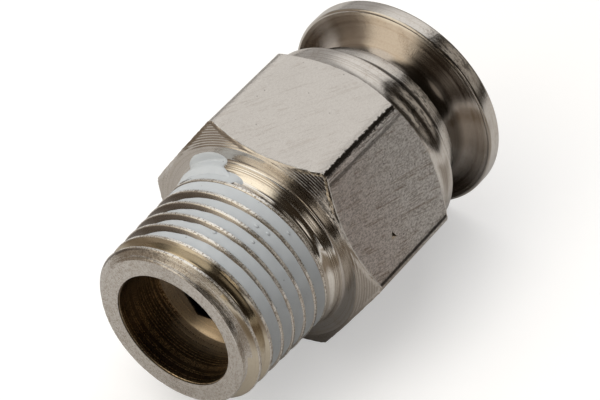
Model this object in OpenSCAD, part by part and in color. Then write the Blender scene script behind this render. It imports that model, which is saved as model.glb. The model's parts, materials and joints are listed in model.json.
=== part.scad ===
// Push to connect fitting: taper male thread to a plastic tube, with a push button release.
// The axis is +X, from the thread to the button. The origin is where the axis meets the
// hexagon's thread side face, and +Z is square to one of the hexagon's flats.

/* [Port thread] */
// Largest diameter of the taper thread at its gauge plane
thread_d = 9.728; // [9.4:0.01:10.2]
// Distance of the gauge plane from the thread's end
gauge_l = 4; // [3:0.1:5]
// Taper of the thread, one in this much on the diameter
taper_ratio = 16; // [12:1:24]
// Pitch of the thread
thread_pitch = 0.907; // [0.7:0.001:1.1]
// Angle between the flanks of the thread
thread_angle = 55; // [50:1:60]
// Distance of the first ridge's middle from the thread's end
first_ridge = 0.53; // [0.45:0.01:0.7]
// Length of the shank from the hexagon's face to the thread's end
shank_l = 7.4; // [6.6:0.1:9]
// Depth of the chamfer on the thread's end, measured on the radius
end_chamfer = 0.42; // [0.2:0.01:0.6]
// Diameter of the plain neck under the hexagon
neck_d = 10; // [9.8:0.05:10.8]
// Length of the plain neck under the hexagon
neck_l = 0.6; // [0.5:0.05:1.2]
// Radius of the fillet between the neck and the hexagon's face
neck_fillet = 0.2; // [0.1:0.05:0.4]
// Length of the turned relief between the thread and the neck
relief_l = 0.62; // [0.5:0.01:0.8]
// Depth of that relief below the neck
relief_d = 0.27; // [0.15:0.01:0.35]

/* [Sealant] */
// Number of bare grooves in front of the sealant
bare_n = 1; // [0:1:2]
// Distance of the sealant's surface below the thread's crests
sealant_drop = 0.12; // [0.05:0.01:0.3]

/* [Port bore] */
// Diameter of the bore in the thread's end
port_bore_d = 6.6; // [5.6:0.1:7]
// Depth of the bore in the thread's end
port_bore_l = 3.1; // [2.6:0.1:3.8]
// Chamfer on the bore's mouth
mouth_chamfer = 0.08; // [0.05:0.01:0.3]
// Distance across flats of the hexagon key's socket
key_af = 4; // [3:0.1:4.4]
// Turn of the key's socket about the axis
key_turn = 52; // [0:1:59]

/* [Hexagon] */
// Distance across flats of the hexagon
hex_af = 12; // [11.5:0.1:14]
// Distance across the rounded corners of the hexagon
hex_corner_d = 13.74; // [13:0.02:16]
// Length of the hexagon
hex_l = 7.65; // [7:0.05:9]
// Diameter of the turned face on the hexagon's thread side
face_d = 11.7; // [11:0.1:11.9]
// Slope of the corner chamfers on the thread side, in degrees
near_slope = 36; // [25:1:40]
// Slope of the corner chamfers on the button side, in degrees
far_slope = 40; // [25:1:42]

/* [Barrel] */
// Diameter of the round barrel behind the hexagon
barrel_d = 11.7; // [11.3:0.1:11.9]
// Length of the round barrel behind the hexagon
barrel_l = 1.33; // [1:0.01:2]
// Rounding of the barrel's end
barrel_round = 0.15; // [0.05:0.01:0.3]
// Length of the shallow groove turned in the barrel beside the hexagon
groove_l = 0.8; // [0.5:0.05:0.9]
// Depth of that groove
groove_d = 0.07; // [0.03:0.01:0.1]

/* [Tube] */
// Outside diameter of the tube that the fitting takes
tube_d = 6; // [5.8:0.05:6.3]
// Gap round the tube in every bore that guides it
tube_gap = 0.1; // [0.06:0.01:0.16]
// Length of the bore that holds the tube's end
pilot_l = 2.1; // [1.5:0.1:2.5]

/* [Seal] */
// Thickness of the O-ring's section
seal_section = 1.3; // [1.1:0.05:1.4]
// How far the O-ring and the claws stand into the tube's skin
bite = 0.1; // [0.05:0.01:0.15]
// Width of the O-ring's gland
gland_l = 1.6; // [1.45:0.05:2]
// Gap round the outside of the O-ring
gland_gap = 0.04; // [0.02:0.01:0.08]
// Length of the ring that closes the gland
retainer_l = 1.5; // [1.4:0.05:1.8]
// Thickness of that ring's floor, against the O-ring
retainer_floor = 0.4; // [0.3:0.05:0.5]

/* [Grip ring] */
// Thickness of the grip ring's sheet steel
grip_t = 0.35; // [0.25:0.01:0.4]
// Width of the grip ring's flat rim
grip_rim = 0.6; // [0.45:0.05:0.65]
// Number of claws
claw_n = 10; // [6:1:14]
// Slope of the claws from the rim's plane, in degrees
claw_slope = 38; // [30:1:42]
// Width of the slots between the claws
claw_slot = 0.45; // [0.3:0.05:0.6]

/* [Guide collar] */
// Length of the collar that is pressed into the barrel
guide_l = 4.4; // [4.1:0.1:5]
// Length of the lip that stands proud of the barrel
lip_l = 1.6; // [1.4:0.1:2]
// Chamfer on the lip's outer edge
lip_chamfer = 0.1; // [0.05:0.01:0.2]
// Wall of the lip round the button's skirt
lip_wall = 0.79; // [0.7:0.01:0.95]
// Wall of the collar round the collet's bead
guide_wall = 0.54; // [0.45:0.01:0.6]
// Length of the land that guides the collet
land_l = 0.7; // [0.5:0.05:0.8]
// Overlap of the collar and the barrel's seat, measured on the radius
press_overlap = 0.01; // [0:0.005:0.02]

/* [Collet and button] */
// Travel of the release button
travel = 1; // [0.8:0.05:1.1]
// Wall of the collet
collet_wall = 0.45; // [0.4:0.01:0.55]
// Height of the bead that keeps the collet in the collar
bead_h = 0.4; // [0.3:0.02:0.45]
// Length of the collet's beads
bead_l = 0.6; // [0.4:0.05:0.7]
// Number of slits in the collet's inner end
slit_n = 4; // [2:1:6]
// Width of the collet's slits
slit_w = 0.5; // [0.3:0.05:0.8]
// Wall of the button's skirt
skirt_wall = 0.4; // [0.35:0.01:0.5]
// Diameter of the button's head
button_d = 12.2; // [11.6:0.1:13]
// Thickness of the button's head at its rim
rim_l = 0.95; // [0.85:0.05:1.4]
// Radius of the hollow under the button's head
cove_r = 1.3; // [1.1:0.05:1.35]
// Chamfer of the tube's entry in the button's face
entry_chamfer = 0.5; // [0.2:0.05:0.6]

/* [Clearances] */
// Gap of the sliding fits, measured on the radius
slide_gap = 0.05; // [0.03:0.01:0.08]
// Gap between faces that come near each other at the end of the travel
stop_gap = 0.25; // [0.2:0.01:0.3]

/* [Hidden] */
$fn = 180;
over = 1;                                       // how far a cutter runs past a face

nickel = [0.75, 0.72, 0.67];
nickel_light = [0.82, 0.80, 0.76];
sealant_grey = [0.74, 0.76, 0.78];
rubber = [0.12, 0.12, 0.13];
brass = [0.78, 0.66, 0.38];
stainless = [0.66, 0.67, 0.69];

// Radii, from the tube outwards
tube_r = tube_d / 2;
socket_r = tube_r + tube_gap;                   // every bore that guides the tube
bite_r = tube_r - bite;
gland_r = bite_r + seal_section + gland_gap;
collet_r = socket_r + collet_wall;
bead_r = collet_r + bead_h;
land_r = collet_r + slide_gap;                  // bore of the collar's land and of the button
pocket_r = bead_r + 2 * slide_gap;              // bore of the collar round the bead
seat_r = pocket_r + guide_wall;                 // seat of the cartridge in the barrel
skirt_r = land_r + skirt_wall;
lip_bore_r = skirt_r + slide_gap;
lip_r = lip_bore_r + lip_wall;
button_r = button_d / 2;
barrel_r = barrel_d / 2;
hex_corner_r = hex_corner_d / 2;
neck_r = neck_d / 2;
port_bore_r = port_bore_d / 2;

// Places along the axis
thread_end = -shank_l;
port_floor = thread_end + port_bore_l;
barrel_start = hex_l;
barrel_end = hex_l + barrel_l;
lip_end = barrel_end + lip_l;
guide_end = barrel_end - guide_l;               // inner end of the collar, on the grip ring
grip_end = guide_end - grip_t;
gland_end = grip_end - retainer_l;
gland_start = gland_end - gland_l;
tube_stop = gland_start - pilot_l;
head_back = lip_end + travel + 2 * stop_gap;    // back face of the button's head
head_face = head_back + rim_l;

// Thread: ridges and grooves of its profile, each groove between two ridges
thread_h = 0.64 * thread_pitch;
crest_w = thread_pitch / 2 - thread_h * tan(thread_angle / 2);
relief_start = -neck_l - relief_l;
ridge_n = floor((relief_start - thread_end - first_ridge) / thread_pitch) + 1;
function thread_r(x) = thread_d / 2 + (x - thread_end - gauge_l) / (2 * taper_ratio);
function ridge_x(k) = thread_end + first_ridge + k * thread_pitch;
function flank_x(k, side, depth) =
    ridge_x(k) + side * (crest_w / 2 + depth * tan(thread_angle / 2));
function flank_point(k, side, depth) =
    [thread_r(flank_x(k, side, depth)) - depth, flank_x(k, side, depth)];

// Claws of the grip ring
root_r = seat_r - grip_rim;
claw_tip = guide_end - (root_r - bite_r) * tan(claw_slope);
claw_back_r = bite_r + grip_t * sin(claw_slope);
claw_back = claw_tip - grip_t * cos(claw_slope);
root_back_r = claw_back_r + (grip_end - claw_back) / tan(claw_slope);

// Collet
nose_t = collet_wall / 2;
nose_r = socket_r + nose_t;
nose_end = guide_end - (root_r - nose_r) * tan(claw_slope) + stop_gap;
pocket_end = guide_end + bead_l + travel + stop_gap + slide_gap;
bead_end = pocket_end - slide_gap;
land_end = pocket_end + land_l;
skirt_end = land_end + travel + stop_gap;
snap_h = 0.75 * bead_h;
snap_l = bead_l / 1.5;
collet_end = head_back - snap_l / 2;
snap_start = collet_end - snap_l;
slit_end = pocket_end + land_l / 2;

// Hollows of the collar's mouth and of the button
mouth_r = lip_r - lip_wall / 2;
mouth_l = lip_l / 2;
rim_round = rim_l / 6;

// A profile of radius and place along the axis, turned about the X axis
module turned() {
    rotate([0, 90, 0]) rotate_extrude() children();
}

// A stretch of round bar, or a plain or tapered cutter
module bar(from, to, r1, r2) {
    translate([from, 0, 0]) rotate([0, 90, 0]) cylinder(h = to - from, r1 = r1, r2 = r2);
}

// A flat ring between two radii and two places
module ring(from, to, inner, outer) {
    turned() translate([inner, from]) square([outer - inner, to - from]);
}

// A hexagonal bar with flats square to Z, or turned from there
module hex_bar(from, to, across, turn = 0) {
    translate([from, 0, 0]) rotate([0, 90, 0]) rotate([0, 0, 30 + turn])
        cylinder(h = to - from, r = across / sqrt(3), $fn = 6);
}

// Copies turned about the axis
module around(count) {
    for (i = [0 : count - 1]) rotate([i * 360 / count, 0, 0]) children();
}

// The groove behind a ridge, or what fills it, between two depths below the crests
module groove(k, top, bottom) {
    polygon([
        flank_point(k, 1, top),
        flank_point(k, 1, bottom),
        flank_point(k + 1, -1, bottom),
        flank_point(k + 1, -1, top)
    ]);
}

// A round hollow cut into a turned surface, of this length and depth
module hollow(surface_r, from, length, depth) {
    r = (pow(length / 2, 2) + pow(depth, 2)) / (2 * depth);
    translate([surface_r - depth + r, from + length / 2]) circle(r);
}

// Shank with its end chamfer, the thread, its relief, and the neck with its fillet
module shank() {
    chamfer_end = thread_end + end_chamfer;
    turned() {
        difference() {
            polygon([
                [0, thread_end],
                [thread_r(thread_end) - end_chamfer, thread_end],
                [thread_r(chamfer_end), chamfer_end],
                [thread_r(relief_start), relief_start],
                [neck_r, -neck_l],
                [neck_r, over],
                [0, over]
            ]);
            for (k = [0 : ridge_n - 2]) groove(k, -thread_h / 10, thread_h);
            hollow(neck_r, relief_start, relief_l, relief_d);
        }
        difference() {
            translate([0, -neck_fillet]) square([neck_r + neck_fillet, neck_fillet + over]);
            translate([neck_r + neck_fillet, -neck_fillet]) circle(neck_fillet);
        }
    }
}

// Hexagon with turned corner chamfers on both sides
module hexagon() {
    near_l = (hex_corner_r - face_d / 2) * tan(near_slope);
    far_l = (hex_corner_r - barrel_r) * tan(far_slope);
    intersection() {
        hex_bar(0, hex_l, hex_af);
        turned() polygon([
            [0, 0],
            [face_d / 2, 0],
            [hex_corner_r, near_l],
            [hex_corner_r, hex_l - far_l],
            [barrel_r, hex_l],
            [0, hex_l]
        ]);
    }
}

// Round barrel with a rounded end and a shallow groove
module barrel() {
    inner_r = barrel_r - barrel_round;
    turned() difference() {
        union() {
            translate([0, barrel_start - over]) square([inner_r, barrel_l + over]);
            translate([0, barrel_start - over]) square([barrel_r, barrel_l + over - barrel_round]);
            translate([inner_r, barrel_end - barrel_round]) circle(barrel_round);
        }
        hollow(barrel_r, barrel_start, groove_l, groove_d);
    }
}

// Bore in the thread's end, with a drilled floor and a chamfered mouth
module port_bore() {
    floor_l = port_bore_r * tan(near_slope) / 3;
    bar(thread_end - over, port_floor, port_bore_r, port_bore_r);
    bar(port_floor, port_floor + floor_l, port_bore_r, key_af / 2);
    bar(thread_end, thread_end + mouth_chamfer, port_bore_r + mouth_chamfer, port_bore_r);
}

// Stepped socket for the tube, its seal and the cartridge
module tube_bore() {
    bar(tube_stop, barrel_end, socket_r, socket_r);
    bar(gland_start, barrel_end, gland_r, gland_r);
    bar(gland_end, barrel_end + over, seat_r, seat_r);
    bar(barrel_end - barrel_round, barrel_end, seat_r, seat_r + barrel_round);
}

module body() {
    color(nickel) difference() {
        union() {
            shank();
            hexagon();
            barrel();
        }
        port_bore();
        hex_bar(port_floor - over, tube_stop + over, key_af, key_turn);
        tube_bore();
    }
}

// Sealant in the grooves, up to just below the crests
module thread_sealant() {
    color(sealant_grey) turned()
        for (k = [bare_n : ridge_n - 2]) groove(k, sealant_drop, thread_h);
}

module tube_seal() {
    color(rubber) turned()
        translate([bite_r + seal_section / 2, (gland_start + gland_end) / 2])
            circle(seal_section / 2);
}

// Dished ring: its floor closes the gland, and its dish leaves the claws room to bend
module seal_retainer() {
    floor_x = gland_end + retainer_floor;
    dish_r = nose_r + grip_t;
    color(brass) turned() polygon([
        [socket_r, gland_end],
        [seat_r - slide_gap, gland_end],
        [seat_r - slide_gap, grip_end],
        [root_back_r + slide_gap, grip_end],
        [dish_r, floor_x],
        [socket_r, floor_x]
    ]);
}

// Flat rim and inclined claws, cut apart by slots that end at the rim
module grip_ring() {
    color(stainless) difference() {
        turned() polygon([
            [seat_r - slide_gap, grip_end],
            [seat_r - slide_gap, guide_end],
            [root_r, guide_end],
            [bite_r, claw_tip],
            [claw_back_r, claw_back],
            [root_back_r, grip_end]
        ]);
        around(claw_n)
            translate([claw_back - over, -claw_slot / 2, bite_r / 2])
                cube([guide_end - claw_back + 2 * over, claw_slot, root_back_r - bite_r / 2]);
    }
}

// Collar with a pocket for the collet's bead, a guiding land and a dished mouth
module guide_collar() {
    color(nickel_light) turned() polygon([
        [pocket_r, guide_end],
        [seat_r + press_overlap, guide_end],
        [seat_r + press_overlap, barrel_end],
        [lip_r, barrel_end],
        [lip_r, lip_end - lip_chamfer],
        [lip_r - lip_chamfer, lip_end],
        [mouth_r, lip_end],
        [lip_bore_r, lip_end - mouth_l],
        [lip_bore_r, land_end],
        [land_r, land_end],
        [land_r, pocket_end],
        [pocket_r, pocket_end]
    ]);
}

// Sleeve with a nose that opens the claws, a keeping bead and a snap bead for the button
module collet() {
    lead_l = bead_l / 2;
    color(brass) difference() {
        turned() polygon([
            [socket_r, nose_end],
            [nose_r, nose_end],
            [collet_r, nose_end + 2 * nose_t],
            [collet_r, bead_end - bead_l],
            [bead_r, bead_end - bead_l + lead_l],
            [bead_r, bead_end],
            [collet_r, bead_end],
            [collet_r, snap_start],
            [collet_r + snap_h, snap_start],
            [collet_r + snap_h, collet_end - snap_l / 2],
            [collet_r, collet_end],
            [socket_r, collet_end]
        ]);
        around(slit_n)
            translate([nose_end - over, -slit_w / 2, 0])
                cube([slit_end - nose_end + over, slit_w, bead_r + over]);
    }
}

// Mushroom head with a hollow neck, a skirt in the collar's mouth and the tube's entry
module release_button() {
    cove_x = head_back - cove_r;
    round_r = button_r - rim_round;
    color(nickel_light) difference() {
        turned() difference() {
            union() {
                translate([0, skirt_end]) square([skirt_r, head_back - skirt_end]);
                translate([0, cove_x]) square([skirt_r + cove_r, cove_r]);
                translate([0, head_back]) square([round_r, rim_l]);
                translate([0, head_back + rim_round]) square([button_r, rim_l - 2 * rim_round]);
                translate([round_r, head_back + rim_round]) circle(rim_round);
                translate([round_r, head_face - rim_round]) circle(rim_round);
            }
            translate([skirt_r + cove_r, cove_x]) circle(cove_r);
        }
        bar(skirt_end - over, snap_start, land_r, land_r);
        bar(snap_start - slide_gap, collet_end + slide_gap,
            land_r + snap_h, land_r + snap_h);
        bar(snap_start, head_face + over, socket_r, socket_r);
        bar(head_face - entry_chamfer, head_face, socket_r, socket_r + entry_chamfer);
    }
}

body();
thread_sealant();
tube_seal();
seal_retainer();
grip_ring();
guide_collar();
collet();
release_button();
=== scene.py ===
import bpy
import bmesh
import json
import math
from mathutils import Matrix, Vector, noise

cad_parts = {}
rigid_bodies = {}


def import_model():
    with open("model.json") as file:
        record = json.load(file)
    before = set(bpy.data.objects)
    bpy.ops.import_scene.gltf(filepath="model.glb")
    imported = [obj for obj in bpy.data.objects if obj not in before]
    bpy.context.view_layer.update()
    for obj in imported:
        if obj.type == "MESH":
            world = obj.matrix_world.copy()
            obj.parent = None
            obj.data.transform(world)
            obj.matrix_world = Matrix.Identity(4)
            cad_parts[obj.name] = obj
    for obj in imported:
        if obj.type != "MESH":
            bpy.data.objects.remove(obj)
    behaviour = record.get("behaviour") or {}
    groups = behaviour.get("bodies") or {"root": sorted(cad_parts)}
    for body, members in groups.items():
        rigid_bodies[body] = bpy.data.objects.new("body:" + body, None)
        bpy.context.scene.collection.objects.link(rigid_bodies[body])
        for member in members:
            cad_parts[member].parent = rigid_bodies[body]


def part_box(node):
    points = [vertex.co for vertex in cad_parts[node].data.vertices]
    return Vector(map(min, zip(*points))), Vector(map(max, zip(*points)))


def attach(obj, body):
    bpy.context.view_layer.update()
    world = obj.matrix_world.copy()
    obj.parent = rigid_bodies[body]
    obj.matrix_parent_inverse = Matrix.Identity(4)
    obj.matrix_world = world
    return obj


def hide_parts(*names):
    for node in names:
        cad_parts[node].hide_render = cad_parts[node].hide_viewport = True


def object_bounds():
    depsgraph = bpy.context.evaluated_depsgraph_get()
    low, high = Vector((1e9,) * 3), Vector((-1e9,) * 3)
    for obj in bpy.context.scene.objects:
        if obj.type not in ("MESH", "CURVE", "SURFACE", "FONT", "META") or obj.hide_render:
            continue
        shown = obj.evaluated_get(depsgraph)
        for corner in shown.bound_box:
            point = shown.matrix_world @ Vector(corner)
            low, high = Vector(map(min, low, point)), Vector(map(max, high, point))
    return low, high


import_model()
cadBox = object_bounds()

mm = 0.001


# Small helpers for working by hand in edit mode

def deselectAll():
    if bpy.context.object and bpy.context.object.mode != "OBJECT":
        bpy.ops.object.mode_set(mode="OBJECT")
    bpy.ops.object.select_all(action="DESELECT")


def makeActive(piece):
    deselectAll()
    piece.select_set(True)
    bpy.context.view_layer.objects.active = piece


def editAll():
    bpy.ops.object.mode_set(mode="EDIT")
    bpy.ops.mesh.select_all(action="SELECT")


def arc(centreX, centreR, radius, start, end, steps):     # a round stretch, angles from +X towards +R
    points = []
    for i in range(steps + 1):
        a = math.radians(start + (end - start) * i / steps)
        points.append((centreX + radius * math.cos(a), centreR + radius * math.sin(a)))
    return points


def drawOutline(name, points):       # one vertex, extruded from point to point above the axis
    deselectAll()
    bpy.ops.mesh.primitive_plane_add(size=mm)
    piece = bpy.context.active_object
    piece.name = name
    editAll()
    bpy.ops.mesh.merge(type="CENTER")
    x, r = points[0]
    bpy.ops.transform.translate(value=(x * mm, 0, r * mm))
    for nextX, nextR in points[1:]:
        bpy.ops.mesh.extrude_region_move(
            TRANSFORM_OT_translate={"value": ((nextX - x) * mm, 0, (nextR - r) * mm)})
        x, r = nextX, nextR
    return piece


def mergeAndTurnOut(threshold=1e-4):          # doubles first, then the normals
    bpy.ops.mesh.select_all(action="SELECT")
    bpy.ops.mesh.remove_doubles(threshold=threshold * mm)
    bpy.ops.mesh.normals_make_consistent(inside=False)


def turnedPiece(name, points, steps=192):     # a closed outline, spun about the X axis
    piece = drawOutline(name, points + points[:1])
    bpy.ops.mesh.select_all(action="SELECT")
    bpy.ops.mesh.spin(steps=steps, angle=2 * math.pi, center=(0, 0, 0), axis=(1, 0, 0))
    mergeAndTurnOut()
    bpy.ops.object.mode_set(mode="OBJECT")
    return piece


def roundSharpEdges(piece, width, segments=2, angle=25, spared=None):   # spared: (start, end, least radius)
    makeActive(piece)
    bpy.ops.object.mode_set(mode="EDIT")
    bpy.ops.mesh.select_mode(type="EDGE")
    bpy.ops.mesh.select_all(action="DESELECT")
    bpy.ops.mesh.edges_select_sharp(sharpness=math.radians(angle))
    if spared:
        mesh = bmesh.from_edit_mesh(piece.data)
        for edge in mesh.edges:
            middle = (edge.verts[0].co + edge.verts[1].co) / 2 / mm
            if spared[0] < middle.x < spared[1] and math.hypot(middle.y, middle.z) > spared[2]:
                edge.select = False
        bmesh.update_edit_mesh(piece.data)
    bpy.ops.mesh.bevel(offset=width * mm, segments=segments, profile=0.5, clamp_overlap=True)
    bpy.ops.mesh.select_mode(type="VERT")
    bpy.ops.object.mode_set(mode="OBJECT")


def smoothFaces(piece, angle=32):
    makeActive(piece)
    bpy.ops.object.shade_smooth_by_angle(angle=math.radians(angle))


def cutAway(piece, cutter):                   # boolean difference, then the cutter is gone
    makeActive(piece)
    cut = piece.modifiers.new("cut", "BOOLEAN")
    cut.operation = "DIFFERENCE"
    cut.solver = "EXACT"
    cut.object = cutter
    bpy.ops.object.modifier_apply(modifier="cut")
    bpy.data.objects.remove(cutter)


def wobble(x, y, z, size):                    # smooth repeatable unevenness, about -1 to 1
    return noise.noise(Vector((x / size, y / size, z / size)))


def wobbleAt(x, r, turn, size):
    return wobble(x, r * math.cos(turn), r * math.sin(turn), size)


def between(low, high, value):                # 0 below low, 1 above high, smooth in between
    t = min(max((value - low) / (high - low), 0), 1)
    return t * t * (3 - 2 * t)


# Shader maths: a wrapped socket

class Signal:
    def __init__(self, tree, socket=None):
        self.tree = tree
        self.socket = socket

    def node(self, kind, settings=None, sockets=None, out=0):
        made = self.tree.nodes.new(kind)
        for name, value in (settings or {}).items():
            setattr(made, name, value)
        for name, value in (sockets or {}).items():
            if isinstance(value, Signal):
                self.tree.links.new(value.socket, made.inputs[name])
            else:
                made.inputs[name].default_value = value
        return Signal(self.tree, made.outputs[out])

    def math(self, operation, *values):
        return self.node("ShaderNodeMath", {"operation": operation}, dict(enumerate(values)))

    def __add__(self, other):
        return self.math("ADD", self, other)

    __radd__ = __add__

    def __sub__(self, other):
        return self.math("SUBTRACT", self, other)

    def __rsub__(self, other):
        return self.math("SUBTRACT", other, self)

    def __mul__(self, other):
        return self.math("MULTIPLY", self, other)

    __rmul__ = __mul__

    def __truediv__(self, other):
        return self.math("DIVIDE", self, other)

    def __pow__(self, other):
        return self.math("POWER", self, other)

    def ramp(self, low, high):                # 0 below low, 1 above high
        return self.node("ShaderNodeMapRange", {"interpolation_type": "SMOOTHSTEP"},
                         {"Value": self, "From Min": low, "From Max": high})

    def noise(self, scale, detail=2.0, roughness=0.5, stretch=(1, 1, 1), shift=(0, 0, 0)):
        place = self.node("ShaderNodeMapping", {}, {"Vector": self, "Scale": stretch, "Location": shift})
        return self.node("ShaderNodeTexNoise", {"noise_dimensions": "3D"},
                         {"Vector": place, "Scale": scale, "Detail": detail, "Roughness": roughness})

    def spots(self, scale):                   # distance to the nearest of scattered points
        return self.node("ShaderNodeTexVoronoi", {"feature": "F1"}, {"Vector": self, "Scale": scale})

    def mixed(self, colourA, colourB):        # this signal goes from colour A to colour B
        return self.node("ShaderNodeMix", {"data_type": "RGBA", "clamp_factor": True},
                         {0: self, 6: colourA, 7: colourB}, out=2)


def startMaterial(name):
    material = bpy.data.materials.new(name)
    material.use_nodes = True
    shader = material.node_tree.nodes["Principled BSDF"]
    start = Signal(material.node_tree)
    objectPlace = start.node("ShaderNodeTexCoord", out=3)
    inMm = start.node("ShaderNodeVectorMath", {"operation": "SCALE"}, {0: objectPlace, "Scale": 1000})
    split = start.node("ShaderNodeSeparateXYZ", {}, {0: inMm})
    x, y, z = (Signal(material.node_tree, split.socket.node.outputs[i]) for i in range(3))
    return material, shader, inMm, x, y, z


def plug(shader, name, value):
    if isinstance(value, Signal):
        value.tree.links.new(value.socket, shader.inputs[name])
    else:
        shader.inputs[name].default_value = value


def bumped(height, strength, relief):         # relief in mm
    sockets = {"Height": height, "Strength": strength, "Distance": relief * mm}
    return height.node("ShaderNodeBump", {}, sockets)


def radiusOf(y, z):
    return (y * y + z * z) ** 0.5


def axisVector(x, r):
    return x.node("ShaderNodeCombineXYZ", {}, {0: x, 1: r, 2: 0.0})


def dress(shader, base, roughness, normal, metallic=1.0):
    plug(shader, "Base Color", base)
    plug(shader, "Metallic", metallic)
    plug(shader, "Roughness", roughness)
    plug(shader, "Normal", normal)


# Finishes: a noise is (scale per mm, detail, roughness), a pair is where a mask starts and where it is full

nickel = dict(
    colour=(0.63, 0.595, 0.555, 1),
    bright=(0.86, 0.83, 0.78, 1),
    warm=(0.54, 0.47, 0.38, 1),
    # tarnish and dirt, and also painted shade: the same colours darken places that get little light and paint
    # dark reflections
    tarnishAndShade=(0.26, 0.19, 0.135, 1),
    dirtAndShade=(0.03, 0.025, 0.02, 1),
    relief=0.012,                                 # of the bumps, in mm
)
turned = dict(
    ringDetail=(2, 0.6), broadness=4, fine=(17, 2, 0.6), mottle=(0.8, 4, 0.62), flecks=(9, 4, 0.75),
    stain=(0.5, 0.75), dull=(0.55, 5, 0.68), dullShift=(8, 2, 5), dullMask=(0.52, 0.68),
    speckScale=4.2, speckSize=(0.12, 0.04),
    speckArea=(1.7, 2, 0.5), speckShift=(3, 1, 7), areaMask=(0.54, 0.6),
    scuff=(5.5, 4, 0.75), scuffSpread=(0.955, 0.985), scuffEdge=0.1, scuffRound=5, scuffStretch=0.4,
    shadeWidth=0.25, seam=(0.14, 0.02), rootWidth=0.4, rootSide=(-0.2, -0.5),
)


def nickelTurned(name, lines=11.0, depth=0.4, rough=0.18, grime=0.5, patches=0.35, grain=0.15,
                 clean=nickel["colour"], scuffTurn=120, scuffR=4.0, shadedR=0.0, rootR=0.0, seamX=-100.0):
    t = turned
    material, shader, place, x, y, z = startMaterial(name)
    r = radiusOf(y, z)
    along = axisVector(x, r)
    rings = along.noise(lines, *t["ringDetail"])             # tool lines, the same all the way round
    broad = along.noise(lines / t["broadness"], *t["ringDetail"])
    fine = place.noise(*t["fine"])
    mottle = place.noise(*t["mottle"])
    stain = (mottle * 0.75 + broad * 0.25).ramp(*t["stain"]) * grime
    specks = place.spots(t["speckScale"]).ramp(*t["speckSize"])
    specks = specks * place.noise(*t["speckArea"], shift=t["speckShift"]).ramp(*t["areaMask"])
    dull = place.noise(*t["dull"], shift=t["dullShift"]).ramp(*t["dullMask"]) * patches * 0.5
    flecks = place.noise(*t["flecks"])
    # a scuffed patch on one side, its marks drawn out along the axis and painted dark; where it sits on the
    # barrel, the collar's lip and the button's rim, that dark is a painted dark reflection
    scuffY, scuffZ = math.cos(math.radians(scuffTurn)), math.sin(math.radians(scuffTurn))
    towards = (y * scuffY + z * scuffZ) / r + (mottle - 0.5) * 0.1
    scuffedAndShaded = towards.ramp(*t["scuffSpread"]) * r.ramp(scuffR, scuffR + t["scuffEdge"]) * patches
    roundAxis = y.math("ARCTAN2", z, y) * t["scuffRound"]
    scuffPlace = x.node("ShaderNodeCombineXYZ", {}, {0: x, 1: r, 2: roundAxis * t["scuffStretch"]})
    scuff = scuffPlace.noise(*t["scuff"])
    base = stain.mixed(clean, nickel["warm"])
    base = (rings.ramp(0.5, 0.3) * 0.55 * grime).mixed(base, nickel["tarnishAndShade"])
    base = (specks * 0.8).mixed(base, nickel["dirtAndShade"])
    base = (dull * fine.ramp(0.35, 0.6)).mixed(base, nickel["tarnishAndShade"])
    base = (flecks.ramp(0.55, 0.36) * grain).mixed(base, nickel["tarnishAndShade"])
    # the patch's dark streaks: scuffs, and on the barrel, lip and rim a painted dark reflection
    base = (scuffedAndShaded * scuff.ramp(0.5, 0.42) * 0.8).mixed(base, nickel["dirtAndShade"])
    # places that get little light: below a radius, in a seam and, on the right, in a root
    base = (r.ramp(shadedR, shadedR - t["shadeWidth"]) * 0.4).mixed(base, nickel["tarnishAndShade"])
    base = (x.ramp(seamX + t["seam"][0], seamX + t["seam"][1]) * 0.92).mixed(base, nickel["dirtAndShade"])
    root = r.ramp(rootR, rootR - t["rootWidth"]) * (y / r).ramp(*t["rootSide"])
    base = (root * 0.7).mixed(base, nickel["dirtAndShade"])
    roughness = rough + (rings - 0.5) * 0.25 + stain * 0.1 + (fine - 0.5) * 0.1 + dull * 0.1
    height = rings + broad * 0.6 + fine * 0.15 - specks * 0.6
    height = height + flecks * (dull * 4 + grain * 1.5) + scuff * scuffedAndShaded * 3
    dress(shader, base, roughness, bumped(height, depth, nickel["relief"]))
    return material


flats = dict(
    sin60=0.866, cornerFactor=1.155,
    fine=(12, 3, 0.65), mottle=(0.7, 4, 0.62), grain=(13, 5, 0.8), grainStretch=(0.5, 1, 1),
    streak=(2.4, 3, 0.6), streakStretch=(0.1, 3, 3),
    ragged=(7, 3, 0.7), raggedStretch=(0.7, 1, 1), raggedMost=0.45,
    worn=(5.85, 5.97), upper=(0.0, 2.0), lower=(0.0, -2.0),      # out from the axis, and across the worn flat
    cornerLine=(0.22, 0.16), topLine=(0.17, 0.14), topRight=(-2.0, -2.6), topHeight=(5.9, 5.97),
    chips=(6, 3, 0.7), chipReach=(0.5, 0.1), drawnReach=(0.78, 0.68), drawnLines=(0.42, 0.6),
    lowerReach=(0.36, 0.28), lowerGap=(0.1, 0.2), burrReach=(0.1, 0.06), burrGrain=(9, 2, 0.6),
    slantCos=0.966, slantSin=0.259, scratches=(1.0, 2, 0.6), scratchStretch=(0.1, 4.5, 1),
    scratchWidth=(0.024, 0.008), scratchArea=(1.4, 2, 0.5), scratchMask=(0.42, 0.54),
    pitScale=3.6, pitSize=(0.13, 0.05), pitArea=(1.3, 2, 0.5), pitShift=(2, 5, 1), pitMask=(0.58, 0.62),
    mottled=(0.61, 0.575, 0.535, 1), grainColour=(0.33, 0.29, 0.27, 1),
    wornNear=(0.77, 0.70, 0.665, 1), wornFar=(0.86, 0.835, 0.81, 1), wornSpan=(1.0, 6.0),
)


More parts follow.
